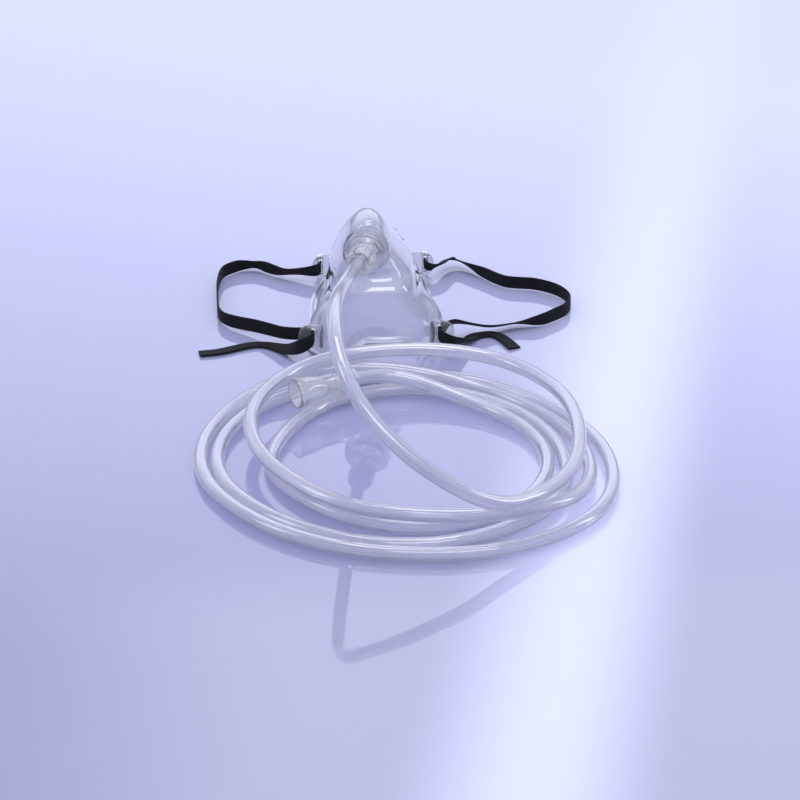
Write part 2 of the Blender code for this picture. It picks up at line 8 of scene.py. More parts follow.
import bmesh
import bpy
import numpy as np
from mathutils import Matrix, Vector


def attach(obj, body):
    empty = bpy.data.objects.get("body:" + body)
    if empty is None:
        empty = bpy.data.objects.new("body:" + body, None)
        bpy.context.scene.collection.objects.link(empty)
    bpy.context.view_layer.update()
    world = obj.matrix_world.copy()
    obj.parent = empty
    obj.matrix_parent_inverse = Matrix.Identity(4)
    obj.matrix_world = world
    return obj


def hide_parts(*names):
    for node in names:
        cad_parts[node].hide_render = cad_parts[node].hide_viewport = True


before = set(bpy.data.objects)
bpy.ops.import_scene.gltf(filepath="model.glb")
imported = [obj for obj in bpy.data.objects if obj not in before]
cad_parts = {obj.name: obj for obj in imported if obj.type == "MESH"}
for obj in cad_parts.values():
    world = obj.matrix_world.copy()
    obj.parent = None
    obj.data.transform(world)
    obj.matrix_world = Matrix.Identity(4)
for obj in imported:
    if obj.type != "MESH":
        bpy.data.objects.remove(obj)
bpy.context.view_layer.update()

MM = 0.001
GAP = 0.35 * MM

# Camera, read from the photo: a long lens, 28 degrees above the table
CAMERA_PLACE = Vector((-0.0693, -1.1907, 0.5868))
CAMERA_TARGET = Vector((0.00767, -0.08965, 0.0))
CAMERA_LENS = 126.56
CAMERA_SENSOR = 36

# Mask shell
WALL = 1.4 * MM
LEVELS = 96
AROUND = 168
FLOOR_CUT = Vector((300.0, 300.0, 20.0)) * MM

# Each station of the shell, from the rim to the crown, in millimetres:
# height, chin side, widest place, nose side, half width, chin squareness,
# nose roundness, cheek swell, sideways lean.
STATIONS = (
    (1.5, -57.3, -10, 57.5, 29.0, 3.6, 2.7, 0.14, 0.0),
    (1.5, -54.9, -10, 55.0, 26.7, 3.6, 2.6, 0.19, 0.0),
    (3.3, -53.2, -10, 53.0, 25.2, 3.7, 2.4, 0.25, 0.2),
    (12.0, -52.4, -10, 49.0, 23.6, 3.8, 2.1, 0.36, 0.6),
    (19.0, -52.0, -11, 43.6, 22.4, 3.9, 1.9, 0.27, 0.9),
    (25.0, -51.7, -12, 38.4, 21.2, 4.0, 1.8, 0.08, 0.9),
    (29.0, -51.4, -13, 34.4, 20.4, 4.0, 1.7, 0.0, 0.4),
    (33.5, -50.9, -14, 29.6, 19.5, 4.0, 1.6, 0.0, -0.4),
    (36.2, -49.2, -15, 26.6, 18.7, 4.0, 1.6, 0.0, -0.9),
    (38.4, -46.8, -16, 24.0, 17.9, 3.9, 1.6, 0.0, -1.3),
    (40.8, -45.6, -17, 21.0, 16.9, 3.8, 1.55, 0.0, -1.8),
    (47.0, -44.7, -20, 12.2, 13.9, 3.6, 1.5, 0.0, -2.8),
    (53.0, -43.8, -24, 1.6, 11.3, 3.4, 1.5, 0.0, -3.4),
    (58.5, -42.8, -28, -10.0, 9.1, 3.2, 1.5, 0.0, -3.4),
    (62.0, -42.0, -31, -18.4, 7.3, 2.8, 1.6, 0.0, -3.2),
    (64.6, -40.4, -32, -24.0, 4.9, 2.4, 1.8, 0.0, -3.0),
    (65.8, -37.4, -32, -27.8, 2.5, 2.0, 2.0, 0.0, -2.9),
)
CROWN_HEIGHT = 66.1 * MM
CROWN_SHARES = (0.8, 0.6, 0.4, 0.2)

# Where the cheeks swell, how the rim arches over the nose bridge and under the
# chin, and how far the soft nose end leans over
CHEEK_PLACE = -36.0 * MM
CHEEK_SPREAD = 13.0 * MM
NOSE_ARCH = 6.0 * MM
NOSE_ARCH_WIDTH = 11.0 * MM
NOSE_ARCH_START = 30.0 * MM
NOSE_ARCH_END = 58.0 * MM
NOSE_ARCH_TOP = 16.0 * MM
NOSE_DRIFT = 4.0 * MM
NOSE_DRIFT_START = -5.0 * MM
NOSE_DRIFT_END = 50.0 * MM
CHIN_ARCH = 11.0 * MM
CHIN_ARCH_CENTRE = 4.0 * MM
CHIN_ARCH_FLAT = 8.0 * MM
CHIN_ARCH_FOOT = 24.0 * MM
CHIN_ARCH_START = 46.0 * MM
CHIN_ARCH_END = 54.0 * MM
CHIN_ARCH_TOP = 26.0 * MM

# Vent holes in both cheeks
VENT_RING_RADIUS = 7.0 * MM
VENT_RADIUS = 1.6 * MM
VENT_COUNT = 6
VENT_PLACE = (-14.0 * MM, 27.0 * MM)
VENT_CUT_LENGTH = 90.0 * MM

# Port boss and connector
PORT_PLACE = Vector((-4.5, -44.6, 52.1)) * MM
PORT_RISE = math.radians(9)
PORT_TURN = math.radians(13)
BASE_RADIUS = 10.8 * MM
BASE_LENGTH = 0.8 * MM
BOSS_RADIUS = 8.6 * MM
BOSS_FOOT_RADIUS = 9.6 * MM
BOSS_LENGTH = 3.0 * MM
BOSS_DEPTH = 3.4 * MM
BORE_RADIUS = 5.4 * MM
BOSS_ROUNDING = 0.5
BOSS_SIDES = 96
NECK_PLAY = 0.4 * MM
CONNECTOR_RIBS = 8
RIB_SIZE = Vector((0.9, 1.1, 9.6)) * MM
RIB_RADIUS = 5.75 * MM
RIB_HEIGHT = 11.4 * MM
BARREL_LENGTH = 17.2 * MM
SOCKET_DEPTH = 9.0 * MM
PORT_ROUNDING = 0.35
PORT_SIDES = 72

# Ears that the straps thread through. Each ear's numbers are, in millimetres:
# its place along the mask, its inner end, how far it reaches out, its slot's
# height and distance from its outer end, and the slope of its root.
SLOT_WIDTH = 2.6 * MM
SLOT_HEIGHT = 7.6 * MM
PLATE_THICKNESS = 1.8 * MM
PLATE_HEIGHT = 11.8 * MM
PLATE_CORNER = 5.0 * MM
PLATE_RIM = 0.6 * MM
SLOT_CORNER = 1.0 * MM
LUG = (38.0, 17.6, 11.6, 6.2, 3.8, 4.0)
TAB = (-44.0, 24.2, 11.4, 10.0, 7.1, 0.0)

# Nose strip's studs
NOSE_CLIP_LEVEL = (0.325, 0.385)
STUD_SPREAD = math.radians(30)
STUD_RADIUS = 1.1 * MM
STUD_LENGTH = 3.4 * MM
STUD_OUT = 0.6 * MM

# Straps. Their thin edges start a little way in from each side.
STRAP_WIDTH = 6.3 * MM
STRAP_THICKNESS = 0.8 * MM
STRAP_EDGE = 0.12 * MM
STRAP_EDGE_SHARE = 0.75
STRAP_COLUMNS = 10
STRAP_SPACING = 0.8 * MM
STRAP_DETAIL = 40
STRAP_FINE_SPACING = 0.5 * MM
STRAP_SOFTNESS = 2

# Route of each strap, in millimetres and degrees: x, y, height, tilt.
# A tilt of 0 stands the ribbon on its edge and 90 lays it flat.
STRAP_LEFT_ROUTE = (
    (-21.8, 43.6, 6.2, 0), (-21.8, 40.6, 6.2, 0), (-22.0, 37.2, 6.2, 0), (-23.8, 34.6, 6.1, 0),
    (-27.4, 34.6, 5.6, -20), (-32.6, 36.4, 4.8, -38), (-38.6, 38.4, 4.0, -40), (-43.8, 41.4, 3.7, -15),
    (-48.5, 45.4, 3.6, -10), (-53.3, 48.4, 3.5, -35), (-58.6, 48.4, 3.5, -20), (-63.4, 46.6, 3.5, 0),
    (-69.2, 40.4, 3.5, 0), (-71.6, 27.0, 3.5, 0), (-71.9, 10.6, 3.5, 0), (-71.4, -3.6, 3.6, 0),
    (-68.4, -10.6, 3.8, 0), (-62.4, -15.8, 4.2, -10), (-54.9, -21.0, 4.9, -10), (-48.6, -27.0, 5.9, -5),
    (-43.2, -33.2, 7.2, 0), (-38.0, -37.6, 8.6, 0), (-33.4, -40.0, 9.6, 0), (-29.8, -41.9, 10.0, 0),
    (-28.5, -44.2, 10.0, 0), (-29.1, -46.9, 9.9, 0), (-31.8, -49.0, 9.0, 4), (-35.8, -48.6, 7.0, 16),
    (-39.2, -44.8, 4.6, 42), (-42.8, -39.2, 2.1, 72), (-47.2, -34.6, 1.0, 88), (-52.0, -32.2, 0.8, 96),
    (-58.0, -32.6, 0.8, 96), (-64.6, -35.2, 0.8, 96), (-72.0, -38.2, 0.8, 96), (-81.0, -39.6, 0.8, 96),
)
STRAP_RIGHT_ROUTE = (
    (28.8, 43.6, 6.2, 0), (28.8, 40.6, 6.2, 0), (29.0, 37.2, 6.2, 8), (31.4, 34.0, 6.3, 38),
    (35.4, 35.6, 6.4, 56), (38.6, 40.6, 6.2, 60), (41.4, 44.6, 5.4, 60), (44.8, 45.2, 4.4, 60),
    (49.0, 41.0, 3.8, 48), (53.0, 36.0, 3.5, 25), (57.4, 30.8, 3.5, 5), (61.7, 25.4, 3.5, 0),
    (66.4, 21.0, 3.5, 0), (72.4, 19.2, 3.5, 0), (80.6, 17.2, 3.5, 0), (90.2, 9.6, 3.5, 0),
    (94.4, -1.2, 3.5, 0), (91.4, -10.4, 3.5, 5), (85.7, -15.8, 3.5, 8), (80.5, -19.8, 3.5, 0),
    (75.6, -21.6, 3.4, -22), (70.9, -22.0, 3.1, -46), (66.2, -22.6, 2.9, -60), (61.3, -24.2, 3.0, -60),
    (56.4, -26.1, 3.4, -60), (51.6, -27.3, 4.2, -60), (46.8, -27.4, 5.2, -60), (42.2, -27.8, 6.4, -60),
    (38.2, -29.6, 7.8, -56), (35.2, -32.8, 9.0, -42), (33.2, -36.6, 9.7, -24), (31.2, -39.8, 10.0, -8),
    (29.2, -42.2, 10.0, 0), (28.5, -44.4, 10.0, 0), (29.1, -46.9, 9.9, 0), (31.8, -49.0, 8.8, 6),
    (35.8, -48.2, 6.8, 22), (39.2, -43.4, 4.4, 48), (42.2, -37.2, 2.3, 74), (45.8, -31.8, 1.1, 88),
    (50.2, -29.2, 0.8, 84), (54.4, -28.8, 0.8, 84), (58.0, -31.6, 0.8, 84), (61.0, -37.2, 0.8, 84),
    (63.7, -44.0, 0.8, 84),
)

# Tube
TUBE_RADIUS = 3.15 * MM
TUBE_BORE = 2.05 * MM
TUBE_STAR = 0.2 * MM
STAR_POINTS = 5
TUBE_SIDES = 20
TUBE_SPACING = 3.2 * MM
TUBE_DETAIL = 30
TUBE_FINE_SPACING = 1.0 * MM
TUBE_SOFTNESS = 6
TUBE_IN_SOCKET = 1.0 * MM
TABLE_PLAY = 0.05 * MM
COIL_CENTRE = Vector((6.0, -151.0, 0.0)) * MM

# Route of the free tube, in millimetres, from the connector to the coil
LEAD_ROUTE = (
    (-9.3, -65.1, 55.4), (-11.7, -75.8, 57.3), (-14.0, -90.0, 61.4), (-16.8, -108.0, 66.9),
    (-20.2, -128.0, 72.9), (-23.1, -149.0, 77.3), (-24.7, -168.0, 77.2), (-23.8, -184.0, 72.2),
    (-20.0, -196.5, 64.6), (-13.6, -206.4, 56.6), (-5.4, -213.6, 48.8), (4.0, -218.6, 41.4),
    (13.8, -221.6, 34.6), (23.4, -222.8, 28.6), (29.0, -222.7, 25.2),
)

# Radius and height of each turn, in millimetres, at every 30 degrees
COIL_START = -60
COIL_STEP = 30
COIL_POINTS_BETWEEN = 3
COIL_TURNS = (
    ((75.2, 17.9), (73.6, 14.8), (73.7, 14.2), (79.9, 14.2), (83.2, 14.8), (79.8, 15.9),
     (78.2, 15.8), (72.4, 14.4), (63.4, 13.0), (56.8, 12.0), (56.2, 11.2), (58.4, 11.0)),
    ((68.0, 10.6), (78.5, 6.2), (77.2, 3.2), (73.2, 3.2), (72.2, 4.4), (74.6, 8.8),
     (83.0, 9.2), (88.8, 4.0), (87.0, 3.2), (80.0, 3.2), (76.2, 3.2), (76.6, 3.2)),
    ((84.0, 3.2), (89.8, 3.2), (86.0, 3.2), (80.2, 3.2), (79.2, 3.2), (79.5, 3.2),
     (79.5, 3.2), (81.5, 3.2), (80.0, 3.2), (73.4, 3.2), (69.6, 3.2), (69.4, 3.2)),
    ((69.5, 3.2), (70.4, 3.2), (67.4, 3.2), (66.0, 3.2), (65.4, 3.2), (66.0, 3.2),
     (62.4, 3.2), (57.8, 3.2), (57.6, 3.2), (53.4, 3.2), (52.6, 3.2), (55.8, 3.2)),
    ((58.4, 3.2), (59.8, 3.2), (60.4, 3.2), (59.2, 3.4), (58.4, 5.2), (64.2, 10.8)),
)

# Far-end connector, resting on the coil's inner turns
END_PLACE = Vector((-25.8, -97.7, 12.5)) * MM
END_HEADING = math.radians(205)
END_LENGTH = 30.0 * MM
END_MOUTH_RADIUS = 6.3 * MM
END_ROUNDING = 0.6
END_SIDES = 56

# Where the tube's last points lie behind that connector's middle, and the
# connector's grip: where its bands start, their width, and the groove between
# two of them, all in millimetres
END_APPROACH = (20.5, 15.0, 10.0)
BAND_STARTS = (0, 5.8, 11.4)
BAND_WIDTH = 3.2
BAND_RADIUS = 4.9
GROOVE = (3.7, 5.3)
GROOVE_RADIUS = 4.4

# Clear plastics: two shades, lowest and highest roughness, share of light that
# goes in, refraction, strength of the ripples, clear coat, and absorption per metre
CLEAR_PLASTICS = {
    "clear_vinyl": {
        "shades": ((0.88, 0.88, 0.91), (0.94, 0.94, 0.96)), "rough": (0.02, 0.06),
        "transmission": 0.92, "ior": 1.45, "ripple": 0.12, "coat": 0.75, "absorption": 110.0,
    },
    "connector_vinyl": {
        "shades": ((0.84, 0.84, 0.87), (0.90, 0.90, 0.93)), "rough": (0.06, 0.12),
        "transmission": 0.88, "ior": 1.42, "ripple": 0.06, "coat": 0.6, "absorption": 30.0,
    },
    "tube_vinyl": {
        "shades": ((0.74, 0.74, 0.85), (0.81, 0.81, 0.92)), "rough": (0.10, 0.20),
        "transmission": 0.80, "ior": 1.45, "ripple": 0.06, "coat": 1.0, "absorption": 60.0,
    },
    "connector_plastic": {
        "shades": ((0.88, 0.88, 0.91), (0.94, 0.94, 0.96)), "rough": (0.02, 0.05),
        "transmission": 0.92, "ior": 1.5, "ripple": 0.04, "coat": 0.5, "absorption": 5.0,
    },
}
COAT_ROUGHNESS = 0.04
COAT_IOR = 1.7
ABSORPTION_COLOUR = (0.50, 0.50, 0.53)
LIGHT_PASSED = 0.90
HAZE_NOISE = (60, 3)
RIPPLE_NOISE = (110, 2)
RIPPLE_DEPTH = 0.6 * MM

# Elastic: its shades, and the spacing of its stitches along the ribbon and of its
# ribs across it, in millimetres. A relief is a bump's strength and depth.
ELASTIC_LOOKS = {"Roughness": 0.82, "Specular IOR Level": 0.25, "Sheen Weight": 0.04,
                 "Sheen Roughness": 0.5}
ELASTIC_SHADES = ((0.002, 0.003, 0.004), (0.007, 0.009, 0.013))
STITCH_SPACING = 0.9
RIB_SPACING = 0.7
STITCH_SHARE = 0.5
KNIT_RELIEF = (0.6, 0.12 * MM)

# Aluminium: its shades, roughness and fine rolling lines
ALUMINIUM_SHADES = ((0.62, 0.63, 0.65), (0.84, 0.85, 0.87))
ALUMINIUM_ROUGH = (0.24, 0.42)
ROLLING_SCALE = (90, 2200, 2200)
ROLLING_RELIEF = (0.15, 0.05 * MM)

# Table: its colour in front and at the back, which is painted light and shade; a painted reflection
# of a strip light in the slanting glow at the right; and painted shade inside the coil. A range is
# where each colour starts and is full, in metres.
FLOOR_SIZE = 4.0
FLOOR_ROUGHNESS = 0.03
FLOOR_IOR = 1.95
FLOOR_FRONT_PAINTED_SHADE = (0.215, 0.227, 0.40)
FLOOR_BACK_PAINTED_LIGHT = (0.60, 0.615, 0.92)
FLOOR_PAINTED_GLOW = (0.65, 0.68, 0.92)
FLOOR_PAINTED_SHADE = (0.345, 0.36, 0.52)
SHADE_FRONT = (-0.19, -0.275)
SHADE_SIDE = (-0.18, -0.04)
BACK_TURN = 0.38
BACK_RANGE = (-0.34, 0.34)
GLOW_SLOPE = 0.24
GLOW_RISE = (0.068, 0.128)
GLOW_FALL = (0.181, 0.128)

# Room: its shade at the horizon and above, and a bright wall behind the table,
# by the height and the depth of each direction
WORLD_LOW = (0.22, 0.23, 0.32)
WORLD_HIGH = (0.60, 0.62, 0.74)
WORLD_RISE = (0.0, 0.55)
WALL_COLOUR = (1.30, 1.35, 1.60)
WALL_RANGE = (0.35, 0.80)
WALL_FOOT = (-0.02, 0.33)

# Softboxes, all turned towards the middle of the object: name, place, size, power
LIT_PLACE = Vector((0.0, -0.1, 0.0))
SOFTBOXES = (
    ("overhead", (0.0, 0.05, 1.05), (0.55, 0.42), 2.6),
    ("front", (0.1, -0.75, 0.95), (0.70, 0.36), 2.4),
    ("left", (-0.80, -0.25, 0.62), (0.26, 0.46), 0.9),
    ("right", (0.90, -0.15, 0.40), (0.14, 0.50), 0.9),
)


# Shared geometry

def catmull(rows, count):
    """Rows read from a Catmull-Rom curve through the given rows."""
    table = np.array(rows, float)
    padded = np.vstack((2 * table[0] - table[1], table, 2 * table[-1] - table[-2]))
    result = []
    for place in np.linspace(0, len(table) - 1, count):
        first = min(int(place), len(table) - 2)
        t = place - first
        a, b, c, d = padded[first:first + 4]
        result.append(0.5 * (2 * b + (c - a) * t + (2 * a - 5 * b + 4 * c - d) * t ** 2
                             + (3 * b - a - 3 * c + d) * t ** 3))
    return np.array(result)


def resample(rows, spacing):
    """The same line with its points about evenly spaced; the first three columns are its place."""
    steps = np.linalg.norm(np.diff(rows[:, :3], axis=0), axis=1)
    run = np.concatenate(([0.0], np.cumsum(steps)))
    count = max(2, int(round(run[-1] / spacing)) + 1)
    places = np.linspace(0, run[-1], count)
    return np.column_stack([np.interp(places, run, rows[:, k]) for k in range(rows.shape[1])])


def soften(rows, spread):
    """Evens out the bends of an evenly spaced line, and keeps its ends."""
    reach = 3 * spread
    head = 2 * rows[0] - rows[reach:0:-1]
    tail = 2 * rows[-1] - rows[-2:-2 - reach:-1]
    padded = np.vstack((head, rows, tail))
    weights = np.exp(-0.5 * (np.arange(-reach, reach + 1) / spread) ** 2)
    weights /= weights.sum()
    return np.column_stack([np.convolve(padded[:, k], weights, mode="valid")
                            for k in range(rows.shape[1])])


def ease(value):
    """Rises smoothly from 0 to 1 as the value does, and stays there."""
    value = min(max(value, 0.0), 1.0)
    return value * value * (3 - 2 * value)


def add_mesh(name, bm, material=None, sharp=38):
    """A smooth object, sharp only where its faces meet at more than the given degrees."""
    mesh = bpy.data.meshes.new(name)
    bm.to_mesh(mesh)
    bm.free()
    mesh.shade_smooth()
    mesh.set_sharp_from_angle(angle=math.radians(sharp))
    item = bpy.data.objects.new(name, mesh)
    bpy.context.scene.collection.objects.link(item)
    if material:
        mesh.materials.append(material)
    return item


def apply_modifiers(item, sharp=38):
    """Replaces the item's mesh with its evaluated one."""
    depsgraph = bpy.context.evaluated_depsgraph_get()
    mesh = bpy.data.meshes.new_from_object(item.evaluated_get(depsgraph))
    item.modifiers.clear()
    item.data = mesh
    mesh.shade_smooth()
    mesh.set_sharp_from_angle(angle=math.radians(sharp))
    return item


def cut_or_join(item, bm, operation):
    """Cuts the given form out of an item, or joins it to the item."""
    other = add_mesh(item.name + "_helper", bm)
    modifier = item.modifiers.new("shape", "BOOLEAN")
    modifier.object = other
    modifier.operation = operation
    modifier.solver = "EXACT"
    apply_modifiers(item)
    bpy.data.objects.remove(other)


def add_cylinder(bm, radius, depth, matrix, segments=24):
    bmesh.ops.create_cone(bm, cap_ends=True, segments=segments, radius1=radius, radius2=radius,
                          depth=depth, matrix=matrix)


def add_block(bm, size, matrix):
    scaled = matrix @ Matrix.Diagonal((*size, 1.0))
    return bmesh.ops.create_cube(bm, size=1.0, matrix=scaled)["verts"]


def add_turned(bm, profile, matrix, steps):
    """A turned form from a closed profile of radius and height in millimetres."""
    rings = []
    for radius, height in profile:
        ring = []
        for k in range(steps):
            angle = 2 * math.pi * k / steps
            place = Vector((radius * math.cos(angle), radius * math.sin(angle), height)) * MM
            ring.append(bm.verts.new(matrix @ place))
        rings.append(ring)
    faces = []
    for first, second in zip(rings, rings[1:] + rings[:1]):
        for k in range(steps):
            after = (k + 1) % steps
            faces.append(bm.faces.new((first[k], first[after], second[after], second[k])))
    bmesh.ops.recalc_face_normals(bm, faces=faces)


def rounded_profile(points, radius, steps=3):
    """The closed profile with its corners rounded, by less than half of each edge."""
    most = 0.42
    result = []
    for k, point in enumerate(points):
        here = Vector(point)
        before = Vector(points[k - 1]) - here
        after = Vector(points[(k + 1) % len(points)]) - here
        cut = min(radius, before.length * most, after.length * most)
        start = here + before.normalized() * cut
        end = here + after.normalized() * cut
        for step in range(steps + 1):
            t = step / steps
            result.append((1 - t) ** 2 * start + 2 * t * (1 - t) * here + t ** 2 * end)
    return result


# Materials

def new_material(name):
    material = bpy.data.materials.new(name)
    material.use_nodes = True
    return material, material.node_tree.nodes, material.node_tree.links


def set_inputs(node, values):
    """Sets plain values on a node's own sockets."""
    for name, value in values.items():
        node.inputs[name].default_value = value


def calculate(nodes, links, operation, *values):
    """A Math node's result. Each value is a number or another node's output."""
    node = nodes.new("ShaderNodeMath")
    node.operation = operation
    for socket, value in zip(node.inputs, values):
        if isinstance(value, bpy.types.NodeSocket):
            links.new(value, socket)
        else:
            socket.default_value = value
    return node.outputs[0]


def noise(nodes, links, scale, detail):
    """Soft noise over the object's own coordinates."""
    place = nodes.new("ShaderNodeTexCoord")
    texture = nodes.new("ShaderNodeTexNoise")
    set_inputs(texture, {"Scale": scale, "Detail": detail})
    links.new(place.outputs["Object"], texture.inputs["Vector"])
    return texture.outputs["Fac"]


def spread(nodes, links, value, low, high):
    """Maps a noise, mostly between 0.3 and 0.7, to the given range."""
    node = nodes.new("ShaderNodeMapRange")
    set_inputs(node, {"From Min": 0.3, "From Max": 0.7, "To Min": low, "To Max": high})
    links.new(value, node.inputs["Value"])
    return node.outputs["Result"]


def blend_colours(nodes, links, value, first, second):
    """A mix of two colours, where the first may be another node's colour."""
    node = nodes.new("ShaderNodeMix")
    node.data_type = "RGBA"
    if isinstance(first, bpy.types.NodeSocket):
        links.new(first, node.inputs["A"])
    else:
        node.inputs["A"].default_value = (*first, 1.0)
    node.inputs["B"].default_value = (*second, 1.0)
    links.new(value, node.inputs["Factor"])
    return node.outputs["Result"]


def ramp(nodes, links, value, low, high, smooth=True):
    """Rises from 0 at the low value to 1 at the high one."""
    node = nodes.new("ShaderNodeMapRange")
    node.interpolation_type = "SMOOTHSTEP" if smooth else "LINEAR"
    set_inputs(node, {"From Min": low, "From Max": high})
    links.new(value, node.inputs["Value"])
    return node.outputs["Result"]


def add_bump(nodes, links, value, strength, distance):
    """Raises the surface's shading by the given value."""
    bump = nodes.new("ShaderNodeBump")
    set_inputs(bump, {"Strength": strength, "Distance": distance})
    links.new(value, bump.inputs["Height"])
    links.new(bump.outputs["Normal"], nodes["Principled BSDF"].inputs["Normal"])


def clear_plastic(name, shades, rough, transmission, ior, ripple, coat, absorption):
    """Clear plastic with faint flow ripples and a slight haze that comes and goes."""
    material, nodes, links = new_material(name)
    shader = nodes["Principled BSDF"]
    set_inputs(shader, {"Transmission Weight": transmission, "IOR": ior, "Coat Weight": coat,
                        "Coat Roughness": COAT_ROUGHNESS, "Coat IOR": COAT_IOR})
    haze = noise(nodes, links, *HAZE_NOISE)
    links.new(blend_colours(nodes, links, haze, *shades), shader.inputs["Base Color"])
    links.new(spread(nodes, links, haze, *rough), shader.inputs["Roughness"])
    add_bump(nodes, links, noise(nodes, links, *RIPPLE_NOISE), ripple, RIPPLE_DEPTH)
    pass_light(nodes, links)
    depth = nodes.new("ShaderNodeVolumeAbsorption")
    set_inputs(depth, {"Color": (*ABSORPTION_COLOUR, 1.0), "Density": absorption})
    links.new(depth.outputs["Volume"], nodes["Material Output"].inputs["Volume"])
    return material


def pass_light(nodes, links):
    """Lets most of the light through on its way to the table, as clear plastic does."""
    path = nodes.new("ShaderNodeLightPath")
    alpha = calculate(nodes, links, "MULTIPLY_ADD", path.outputs["Is Shadow Ray"], -LIGHT_PASSED, 1.0)
    links.new(alpha, nodes["Principled BSDF"].inputs["Alpha"])


def make_elastic():
    """Black knitted elastic: fine ribs along the ribbon, crossed by rows of stitches."""
    material, nodes, links = new_material("black_elastic")
    shader = nodes["Principled BSDF"]
    set_inputs(shader, ELASTIC_LOOKS)
    uv = nodes.new("ShaderNodeUVMap")
    uv.uv_map = "ribbon"
    split = nodes.new("ShaderNodeSeparateXYZ")
    links.new(uv.outputs["UV"], split.inputs["Vector"])
    stitches, ribs = [
        calculate(nodes, links, "SINE",
                  calculate(nodes, links, "MULTIPLY", split.outputs[axis], 2 * math.pi / spacing))
        for axis, spacing in (("X", STITCH_SPACING), ("Y", RIB_SPACING))
    ]
    knit = calculate(nodes, links, "MULTIPLY_ADD", stitches, STITCH_SHARE, ribs)
    highest = 1 + STITCH_SHARE
    shade = ramp(nodes, links, knit, -highest, highest, smooth=False)
    links.new(blend_colours(nodes, links, shade, *ELASTIC_SHADES), shader.inputs["Base Color"])
    add_bump(nodes, links, shade, *KNIT_RELIEF)
    return material


def make_aluminium():
    """Soft aluminium strip with fine rolling lines."""
    material, nodes, links = new_material("aluminium_strip")
    shader = nodes["Principled BSDF"]
    set_inputs(shader, {"Metallic": 1.0})
    place = nodes.new("ShaderNodeTexCoord")
    stretch = nodes.new("ShaderNodeMapping")
    set_inputs(stretch, {"Scale": ROLLING_SCALE})
    links.new(place.outputs["Object"], stretch.inputs["Vector"])
    texture = nodes.new("ShaderNodeTexNoise")
    set_inputs(texture, {"Scale": 1.0, "Detail": 3})
    links.new(stretch.outputs["Vector"], texture.inputs["Vector"])
    lines = texture.outputs["Fac"]
    links.new(blend_colours(nodes, links, lines, *ALUMINIUM_SHADES), shader.inputs["Base Color"])
    links.new(spread(nodes, links, lines, *ALUMINIUM_ROUGH), shader.inputs["Roughness"])
    add_bump(nodes, links, lines, *ROLLING_RELIEF)
    return material


def slanted_place(nodes, links, split, across, along):
    """The place on the table measured along a slanted direction."""
    scaled = calculate(nodes, links, "MULTIPLY", split.outputs["X"], across)
    return calculate(nodes, links, "MULTIPLY_ADD", split.outputs["Y"], along, scaled)


def make_floor_material():
    """Glossy lavender table with painted light: paler towards the back, a painted reflection of a strip
    light in a slanting glow on the right, and painted shade towards the front.
    """
    material, nodes, links = new_material("table")
    shader = nodes["Principled BSDF"]
    set_inputs(shader, {"Roughness": FLOOR_ROUGHNESS, "IOR": FLOOR_IOR})
    place = nodes.new("ShaderNodeTexCoord")
    split = nodes.new("ShaderNodeSeparateXYZ")
    links.new(place.outputs["Object"], split.inputs["Vector"])

    # Painted light and shade: the table is painted darker in front and paler towards the back
    depth = slanted_place(nodes, links, split, BACK_TURN, 1.0)
    back = ramp(nodes, links, depth, *BACK_RANGE, smooth=False)
    base = blend_colours(nodes, links, back, FLOOR_FRONT_PAINTED_SHADE, FLOOR_BACK_PAINTED_LIGHT)

    # Painted shade: a darker patch on the table towards the front
    painted_shade = calculate(nodes, links, "MULTIPLY", ramp(nodes, links, split.outputs["Y"], *SHADE_FRONT),
                     ramp(nodes, links, split.outputs["X"], *SHADE_SIDE))
    base = blend_colours(nodes, links, painted_shade, base, FLOOR_PAINTED_SHADE)

    # Painted reflection: a strip light mirrored in the table, painted as a paler slanting band
    slant = slanted_place(nodes, links, split, 1.0, -GLOW_SLOPE)
    glow = calculate(nodes, links, "MULTIPLY", ramp(nodes, links, slant, *GLOW_RISE),
                     ramp(nodes, links, slant, *GLOW_FALL))
    base = blend_colours(nodes, links, glow, base, FLOOR_PAINTED_GLOW)
    links.new(base, shader.inputs["Base Color"])
    return material


# Stage

def make_camera():
    camera = bpy.data.objects.new("camera", bpy.data.cameras.new("camera"))
    camera.data.lens = CAMERA_LENS
    camera.data.sensor_width = CAMERA_SENSOR
    camera.location = CAMERA_PLACE
    heading = CAMERA_TARGET - CAMERA_PLACE
    camera.rotation_euler = heading.to_track_quat("-Z", "Y").to_euler()
    bpy.context.scene.collection.objects.link(camera)
    bpy.context.scene.camera = camera


def make_world():
    """A pale room that is dimmer at the horizon, with a bright wall behind the table."""
    world = bpy.data.worlds.new("studio")
    bpy.context.scene.world = world
    world.use_nodes = True
    nodes, links = world.node_tree.nodes, world.node_tree.links
    place = nodes.new("ShaderNodeTexCoord")
    split = nodes.new("ShaderNodeSeparateXYZ")
    links.new(place.outputs["Generated"], split.inputs["Vector"])
    rise = ramp(nodes, links, split.outputs["Z"], *WORLD_RISE)
    room = blend_colours(nodes, links, rise, WORLD_LOW, WORLD_HIGH)
    wall = calculate(nodes, links, "MULTIPLY", ramp(nodes, links, split.outputs["Y"], *WALL_RANGE),
                     ramp(nodes, links, split.outputs["Z"], *WALL_FOOT))
    lit_room = blend_colours(nodes, links, wall, room, WALL_COLOUR)
    links.new(lit_room, nodes["Background"].inputs["Color"])


def add_softbox(name, place, size, power):
    """A soft rectangular lamp that the camera doesn't see."""
    light = bpy.data.lights.new(name, "AREA")
    light.shape = "RECTANGLE"
    light.size, light.size_y = size
    light.energy = power
    item = bpy.data.objects.new(name, light)
    item.location = place
    item.rotation_euler = (LIT_PLACE - Vector(place)).to_track_quat("-Z", "Y").to_euler()
    item.visible_camera = False
    bpy.context.scene.collection.objects.link(item)


def make_stage():
    bm = bmesh.new()
    bmesh.ops.create_grid(bm, x_segments=1, y_segments=1, size=FLOOR_SIZE)
    floor = add_mesh("table_top", bm, make_floor_material())
    for softbox in SOFTBOXES:
        add_softbox(*softbox)


# Tube

